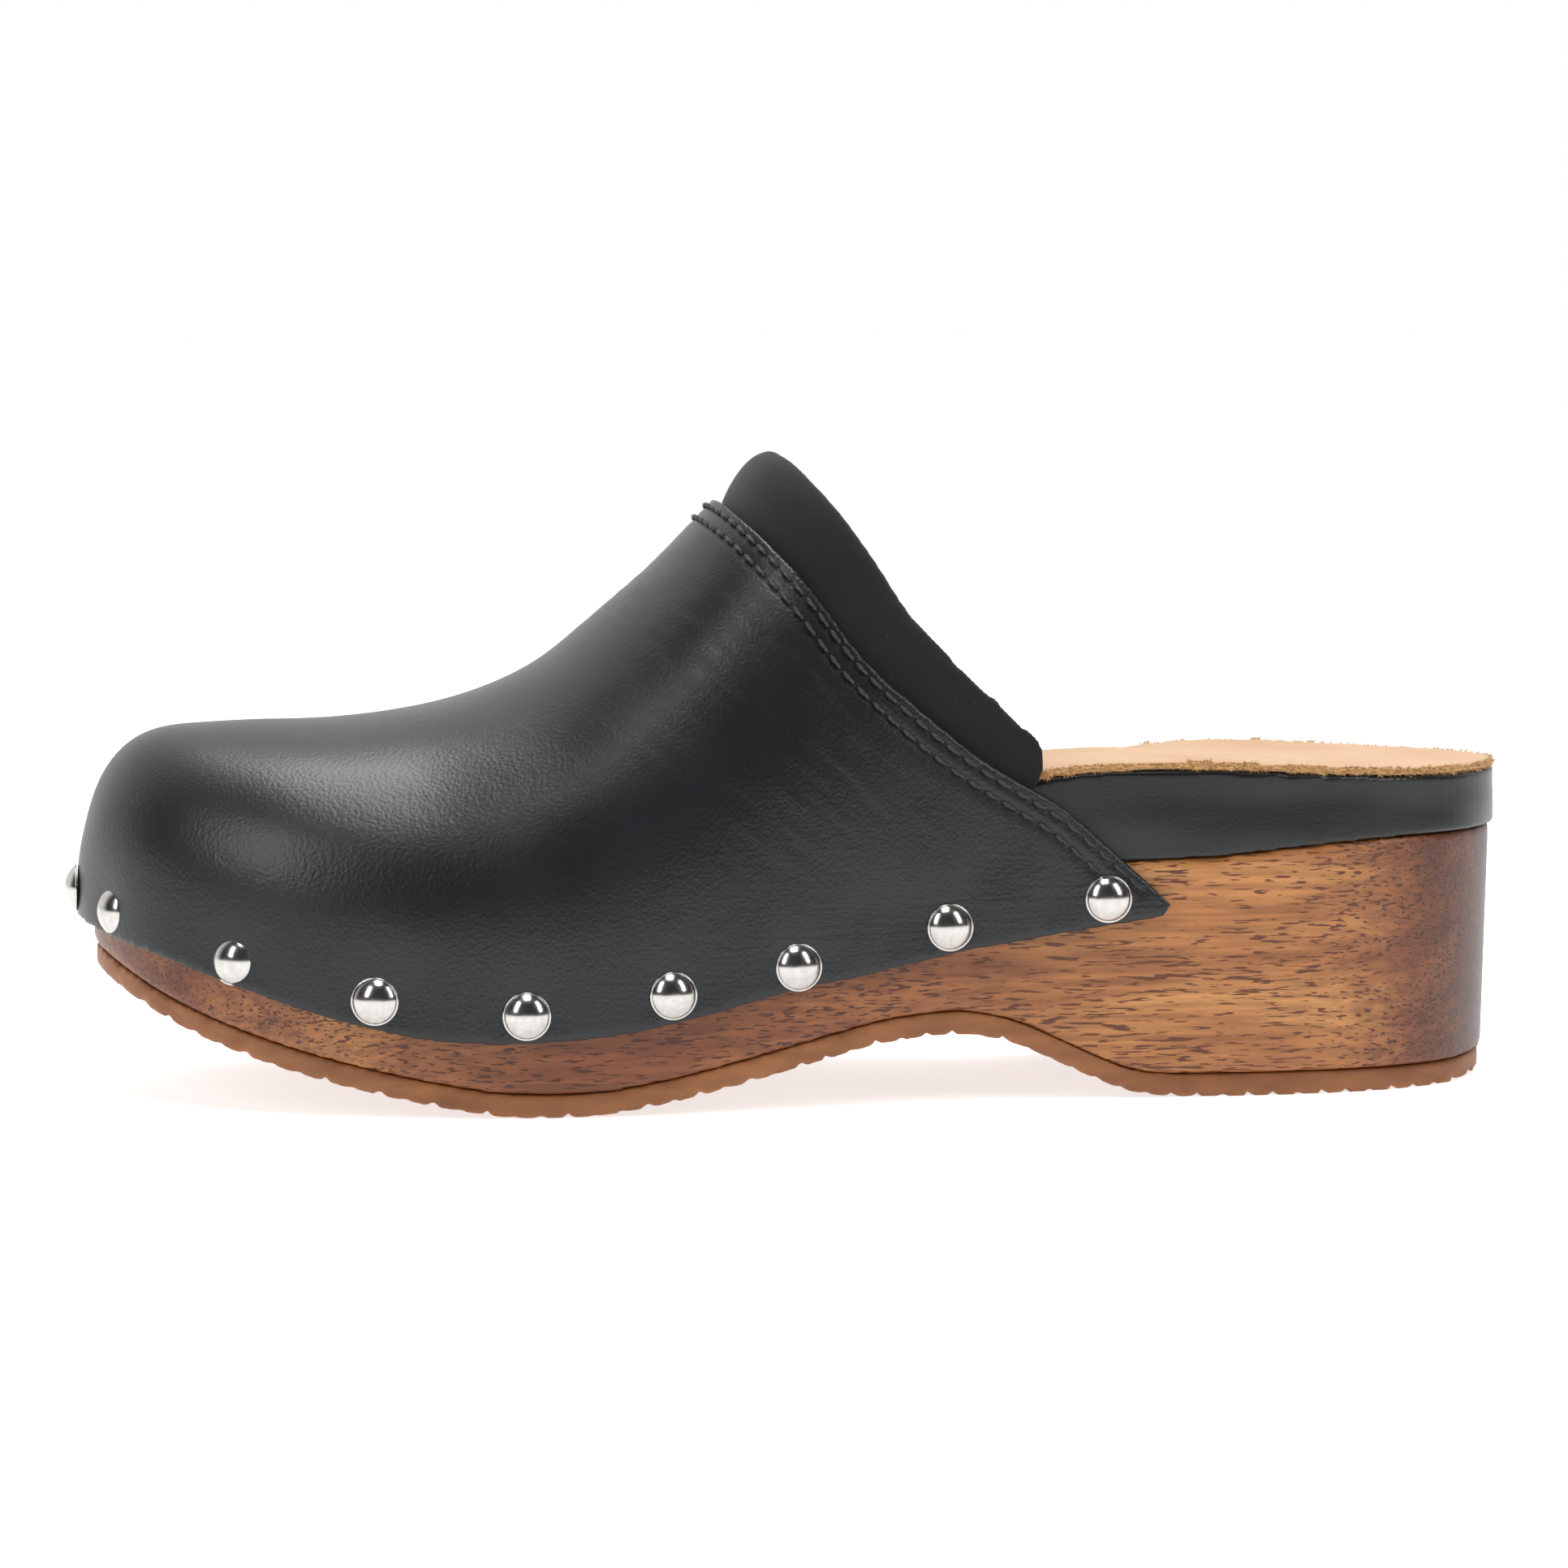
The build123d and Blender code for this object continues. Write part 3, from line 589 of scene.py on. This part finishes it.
# %% Nail heads
# The profile's points are (distance from the axis, height above the leather), in millimetres.
dome_profile = [(0.0, 2.02), (0.6, 2.0), (1.2, 1.91), (1.8, 1.74), (2.35, 1.5), (2.85, 1.2), (3.25, 0.9),
                (3.55, 0.62), (3.74, 0.40), (3.82, 0.27), (3.86, 0.20), (3.95, 0.22), (4.07, 0.20),
                (4.14, 0.10), (4.14, -0.02), (4.02, -0.12)]
dome_sides = 56
seat_depth = 1.05 * MM  # from the middle of the CAD's head down to the leather
for nail_row in nail_rows:
    node = "stud_caps_" + nail_row
    points = []
    faces = []
    for owner, centre, axis in stud_seats:
        if owner != node:
            continue
        across = axis.orthogonal().normalized()
        beside = axis.cross(across)
        seat = centre - axis * seat_depth
        first = len(points)
        for ring, (radius, height) in enumerate(dome_profile):
            for side in range(dome_sides):
                angle = 2 * math.pi * side / dome_sides
                arm = across * math.cos(angle) + beside * math.sin(angle)
                points.append(seat + arm * max(radius, 0.01) * MM + axis * height * MM)
                if ring:
                    a = first + (ring - 1) * dome_sides + side
                    b = first + (ring - 1) * dome_sides + (side + 1) % dome_sides
                    faces.append((a, a + dome_sides, b + dome_sides, b))
        faces.append(tuple(range(first, first + dome_sides)))
    heads = new_piece("nail_heads_" + nail_row, points, faces)
    finish_piece(heads, nickel, "stud_nickel", node)
    print(heads.name, "has", len(faces), "faces")

# %% [markdown]
# The upper is the largest piece. The copy keeps the last's shape, and then gets what lasting, sewing and
# nailing did to the leather: a dimple under each nail head, a shallow trough along the stitches, soft puckers
# between the nails towards the heel, and fine creases where the vamp flexes. Two painted masks tell the
# material where the finest creases go, because those are finer than the mesh.

# %% Upper leather
def bell(distance, width):
    """1 at no distance, fading smoothly to nothing over about twice the width."""
    return math.exp(-(distance / width) ** 2)


def nailed_edge_height(x, z):
    """Height above the leather's nailed edge, which rises towards the heel from x = -50."""
    return z - 13 - max(x + 50, 0) * 0.17


leather_thickness = 1.6
nail_dent, nail_dent_reach = 0.32 * MM, 6.2 * MM
seam_trough, seam_reach = 0.22 * MM, 1.1 * MM
pucker_depth, crease_depth, hand_lasting = 0.40 * MM, 0.16 * MM, 0.22 * MM

upper = resurfaced("upper_leather", "upper_cowhide", 0.6, 4)
mark_raw_edge(upper, leather_thickness)
points, normals = points_and_normals(upper)
press = np.zeros(len(points))
for _, centre, _ in stud_seats:
    distance = np.linalg.norm(points - np.array(centre), axis=1)
    press -= nail_dent * np.exp(-(distance / nail_dent_reach) ** 2)

beyond_any_stitch = 1.0
nearest = np.full(len(points), beyond_any_stitch)
for middle, direction, length in stitch_middles:
    offset = points - middle
    along = np.clip(offset @ direction, -length * 0.7, length * 0.7)
    nearest = np.minimum(nearest, np.linalg.norm(offset - along[:, None] * direction, axis=1))
press -= seam_trough * np.exp(-(nearest / seam_reach) ** 2)

flexed = np.zeros(len(points))
pulled = np.zeros(len(points))
for i, (x, y, z) in enumerate(points / MM):
    rear = min(max((x + 45) / 50, 0), 1)
    pulled[i] = bell(nailed_edge_height(x, z) - 8, 8) * (0.25 + 0.75 * rear)
    over_the_ball = bell(x + 5, 24) * bell(z - 68, 22)
    over_the_instep = 0.7 * bell(x + 25, 16) * bell(z - 86, 10)
    flexed[i] = max(over_the_ball, over_the_instep)
    pucker = noise.noise(Vector((x / 6, y / 9, z / 14)))
    crease = noise.noise(Vector(((x + z) / 3.2, y / 8, (x - z) / 14)))
    unevenness = noise.noise(Vector((x / 22, y / 22, z / 22)))
    press[i] += pucker_depth * pulled[i] * rear * pucker
    press[i] += crease_depth * flexed[i] * crease
    press[i] += hand_lasting * unevenness
paint_mask(upper, "flexed", flexed)
paint_mask(upper, "pulled", pulled)
move_points(upper, points + normals * press[:, None])
finish_piece(upper, cowhide, "upper_leather", "upper_leather")
deepest, highest = float(press.min() / MM), float(press.max() / MM)
print("the leather moves by", round(deepest, 2), "to", round(highest, 2), "mm")

# %% [markdown]
# The collar is a foam roll in a nubuck cover, and it is stuffed. Real padding pushes its cover out until the
# leather's stretch holds it. A cloth simulation with a little inner pressure and no gravity does the same: the
# roll swells most where it is widest. Each point may move 0.7 mm at most, so that the roll still fits the
# upper, and nothing moves where the roll is sewn in behind the leather.

# %% Padded collar
def blow_up(piece, pressure, frames, cap_mm, share):
    """Swell a piece as a closed cloth under pressure. Each point keeps its share of the movement."""
    start, _ = points_and_normals(piece)
    cloth = piece.modifiers.new("padding", "CLOTH")
    cloth.settings.use_pressure = True
    cloth.settings.uniform_pressure_force = pressure
    cloth.settings.effector_weights.gravity = 0
    cloth.collision_settings.use_collision = False
    for step in range(1, frames + 1):
        bpy.context.scene.frame_set(step)
    swollen = bpy.data.meshes.new_from_object(piece.evaluated_get(bpy.context.evaluated_depsgraph_get()))
    end = np.empty(len(start) * 3)
    swollen.vertices.foreach_get("co", end)
    travel = end.reshape(-1, 3) - start
    size = np.linalg.norm(travel, axis=1)
    print(piece.name, "would swell by up to", round(float(size.max() / MM), 2), "mm")
    kept = np.minimum(1, cap_mm * MM / np.maximum(size, 1e-9)) * share
    piece.modifiers.remove(cloth)
    bpy.context.scene.frame_set(1)
    move_points(piece, start + travel * kept[:, None])


held_within, free_beyond = 0.8, 3.3    # distance from the leather, in millimetres
collar = resurfaced("collar_cover", "collar_roll", 0.7, 26, filled=True)
points, _ = points_and_normals(collar)
free = np.array([leather_surface.find_nearest(Vector(p))[3] for p in points]) / MM
free = np.clip((free - held_within) / (free_beyond - held_within), 0, 1)
blow_up(collar, 4.0, 20, 0.7, free)
points, normals = points_and_normals(collar)
ripple = np.array([noise.noise(Vector(p / MM / 11)) for p in points]) * 0.25 * MM
move_points(collar, points + normals * (ripple * free)[:, None])
finish_piece(collar, nubuck, "collar_nubuck", "collar_cover")

# The foam fills the cover, so it takes the cover's swollen shape, half a millimetre smaller all round.
foam_roll = bpy.data.objects.new("foam_roll", collar.data.copy())
bpy.context.scene.collection.objects.link(foam_roll)
points, normals = points_and_normals(foam_roll)
move_points(foam_roll, points - normals * 0.5 * MM)
finish_piece(foam_roll, foam, "foam", "collar_foam")

# %% [markdown]
# The wooden sole is sawn, carved and sanded, so its top edge is eased and the heel draws in a little towards
# the ground. The outsole is moulded to fit under it, and its treads are rounded.

# %% Wooden sole and outsole
heel_middle = np.array([62, -4]) * MM
heel_starts, heel_full = 60, 120    # along X, in millimetres
ground_side, top_side = 4, 42       # heights between which the sole draws in


def draw_heel_in(piece, inset_mm, more_at_ground_mm):
    """Move the heel's sides towards its middle, and by more near the ground."""
    points, _ = points_and_normals(piece)
    heel = np.clip((points[:, 0] / MM - heel_starts) / (heel_full - heel_starts), 0, 1)
    low = np.clip((top_side - points[:, 2] / MM) / (top_side - ground_side), 0, 1)
    inward = heel_middle - points[:, :2]
    inward /= np.linalg.norm(inward, axis=1)[:, None]
    inset = (inset_mm + more_at_ground_mm * low) * heel * MM
    points[:, :2] += inward * inset[:, None]
    move_points(piece, points)
    print(piece.name, "draws in by up to", round(float(inset.max() / MM), 2), "mm")


sole = resurfaced("wood_sole", "carved_sole", 0.8, 4)
draw_heel_in(sole, 0.4, 1.0)
finish_piece(sole, wood, "wood", "wood_sole")

outsole = resurfaced("rubber_outsole", "moulded_outsole", 0.6, 4)
draw_heel_in(outsole, 1.5, 0.0)
finish_piece(outsole, rubber, "gum_rubber", "rubber_outsole")

# %% [markdown]
# The footbed sits on the wood like a shallow tray. At the arch its inner side lies about 4 mm lower than its
# outer side, so all of its layers lean the same way there. The calf round its edge is pulled tight over the
# rim of the foam, which makes it bulge a little over the wood. The sock is dished under the heel, and the
# knife left its cut edge rough.

# %% Footbed
arch_drop = 4.2    # millimetres
heel_dish = 1.1


def lean_inwards(points):
    """Lower the inner side at the arch, in proportion to the height above the wood."""
    x, y, z = (points / MM).T
    arch = np.exp(-((x - 50) / 24) ** 2)
    inner = np.clip((y + 6) / 26, 0, 1)
    above = np.clip((z - 42) / 14, 0, 1)
    moved = points.copy()
    moved[:, 2] -= arch_drop * arch * inner * inner * (3 - 2 * inner) * above * MM
    return moved


def dish_heel(points):
    """Press a shallow oval into the middle of the heel."""
    x, y, _ = (points / MM).T
    reach = np.sqrt(((x - 92) / 36) ** 2 + ((y + 5) / 29) ** 2)
    moved = points.copy()
    moved[:, 2] -= heel_dish * np.clip(1 - reach ** 2, 0, 1) * MM
    return moved


# The core and the cushion also go down a little, to stay under the softened sock.
core_clearance, cushion_clearance = 0.5 * MM, 0.35 * MM
core = resurfaced("footbed_core", "cork_core", 1.4, 2)
points, _ = points_and_normals(core)
points = dish_heel(lean_inwards(points))
points[:, 2] -= core_clearance * np.clip((points[:, 2] / MM - 44) / 6, 0, 1)
move_points(core, points)
finish_piece(core, cork, "footbed_core", "footbed_core")

cushion = resurfaced("footbed_cushion", "foam_cushion", 1.0, 2)
points, _ = points_and_normals(cushion)
points = dish_heel(lean_inwards(points))
points[:, 2] -= cushion_clearance
move_points(cushion, points)
finish_piece(cushion, foam, "foam", "footbed_cushion")

wrap_belly, wrap_ripple = 0.45, 0.25    # millimetres
wrap = resurfaced("footbed_wrap", "calf_wrap", 0.42, 4)
points, normals = points_and_normals(wrap)
points = lean_inwards(points)
outwards = normals.copy()
outwards[:, 2] = 0
free_of_upper = np.clip((points[:, 0] / MM - 30) / 30, 0, 1)
ripple = np.array([noise.noise(Vector((x / 16, y / 16, z / 7))) for x, y, z in points / MM])
bulge = (wrap_belly + wrap_ripple * ripple) * free_of_upper * MM
move_points(wrap, points + outwards * bulge[:, None])
finish_piece(wrap, calf, "footbed_wrap", "footbed_wrap")

steepest_top_normal = 0.75
sock = resurfaced("insole_sock", "tan_sock", 0.6, 3)
points, normals = points_and_normals(sock)
side_facing = np.abs(normals[:, 2]) < steepest_top_normal
points = dish_heel(lean_inwards(points))
rough = np.array([noise.noise(Vector(p / MM / 0.9)) + 0.6 * noise.noise(Vector(p / MM / 4)) for p in points])
open_to_view = np.clip((points[:, 0] / MM - 20) / 20, 0, 1)
edge_push = np.where(side_facing, 0.35 + 0.35 * rough, 0) * open_to_view
move_points(sock, points + normals * (edge_push * MM)[:, None])
paint_mask(sock, "raw_edge", side_facing.astype(float))
finish_piece(sock, sock_hide, "sock_leather", "insole_sock")

# %% [markdown]
# Torn fibres stand out of the sock's cut edge. Each is a sliver a few tenths of a millimetre long, and there
# are enough of them for the edge to look furry.

# %% Loose fibres on the sock's edge
fibre_count = 5200
fibres_from_x = 28 * MM
edge_ids = np.flatnonzero(side_facing & (points[:, 0] > fibres_from_x))
sock_points, sock_normals = points_and_normals(sock)
slivers = []
faces = []
for _ in range(fibre_count):
    i = int(edge_ids[random.randrange(len(edge_ids))])
    root = Vector(sock_points[i])
    lean = Vector(sock_normals[i]) + Vector((random.uniform(-0.9, 0.9), random.uniform(-0.9, 0.9),
                                             random.uniform(-0.9, 0.5)))
    lean.normalize()
    width = lean.orthogonal().normalized() * random.uniform(0.04, 0.09) * MM
    tip = root + lean * random.uniform(0.25, 0.75) * MM
    first = len(slivers)
    slivers += [root - width, root + width, tip]
    faces.append((first, first + 1, first + 2))
fibre_mesh = bpy.data.meshes.new("sock_fibres")
fibre_mesh.from_pydata([tuple(point) for point in slivers], [], faces)
fibres = bpy.data.objects.new("sock_fibres", fibre_mesh)
bpy.context.scene.collection.objects.link(fibres)
fibre_skin = grainy_finish("torn_leather_fibre", "#A67A48", "#E2BE8C", 0.6, 0.01, Roughness=0.8)
fibre_mesh.materials.append(fibre_skin)
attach(fibres, "root")
print(len(faces), "fibres on", len(edge_ids), "edge points")

# %% [markdown]
# The studio: a pale floor, a white surround and three soft lights. A wide light over the shoe draws the long
# highlight along the vamp and the toe.

# %% Floor, lights and camera
floor_mesh = bpy.data.meshes.new("studio_floor")
reach = 12.0
floor_mesh.from_pydata([(-reach, -reach, 0), (reach, -reach, 0), (reach, reach, 0), (-reach, reach, 0)], [],
                       [(0, 1, 2, 3)])
floor = bpy.data.objects.new("studio_floor", floor_mesh)
bpy.context.scene.collection.objects.link(floor)
floor_paint = grainy_finish("lit_white_acrylic", "#D2D2D2", "#D6D6D6", 1.0, 0.01, Roughness=0.9,
                            Emission_Color=hex_colour(WHITE), Emission_Strength=0.70)
floor_mesh.materials.append(floor_paint)

# The surround is white behind the shoe and dim in front of it, as in a studio with a lit backdrop. The dim
# side is what gives polished nickel its dark band and keeps black leather black.
world = bpy.data.worlds.new("lit_backdrop")
world.use_nodes = True
sky = world.node_tree
direction = add_node(sky, "ShaderNodeTexCoord").outputs["Generated"]
depth_axis = add_node(sky, "ShaderNodeSeparateXYZ", {"Vector": direction}).outputs["Y"]
backdrop = add_node(sky, "ShaderNodeValToRGB", {"Fac": depth_axis}, stops=[(0.0, "#3C3C3C"), (0.45, WHITE)])
sky.nodes["Background"].inputs["Strength"].default_value = 1.0
sky.links.new(backdrop.outputs["Color"], sky.nodes["Background"].inputs["Color"])
bpy.context.scene.world = world
bpy.context.scene.view_settings.view_transform = "Standard"


def soft_light(name, place, target, size, watts):
    """A rectangular area light that faces its target. size is its width and height in metres."""
    light = bpy.data.lights.new(name, "AREA")
    light.shape = "RECTANGLE"
    light.size, light.size_y = size
    light.energy = watts
    holder = bpy.data.objects.new(name, light)
    holder.location = place
    holder.rotation_euler = (Vector(target) - Vector(place)).to_track_quat("-Z", "Y").to_euler()
    bpy.context.scene.collection.objects.link(holder)


soft_light("overhead", (-0.05, 0.0, 1.0), (0, 0, 0.05), (1.0, 0.35), 9)
soft_light("front_left", (-0.95, -0.8, 0.8), (0, 0, 0.05), (0.30, 1.0), 6.0)
soft_light("front_right", (0.95, -0.8, 0.8), (0, 0, 0.05), (0.30, 1.0), 6.0)

camera_distance = 1.0
frame_width = 0.280
azimuth = math.radians(-8.5)
elevation = math.radians(5.2)
aim = Vector((0, 0, 0.0525))
towards = Vector((math.sin(azimuth) * math.cos(elevation), -math.cos(azimuth) * math.cos(elevation),
                  math.sin(elevation)))
lens = bpy.data.cameras.new("studio_camera")
lens.sensor_width = 36
lens.lens = lens.sensor_width * camera_distance / frame_width
camera = bpy.data.objects.new("studio_camera", lens)
camera.location = aim + towards * camera_distance
camera.rotation_euler = (-towards).to_track_quat("-Z", "Y").to_euler()
bpy.context.scene.collection.objects.link(camera)
bpy.context.scene.camera = camera
print("the lens is", round(lens.lens, 1), "mm at", camera_distance, "m")
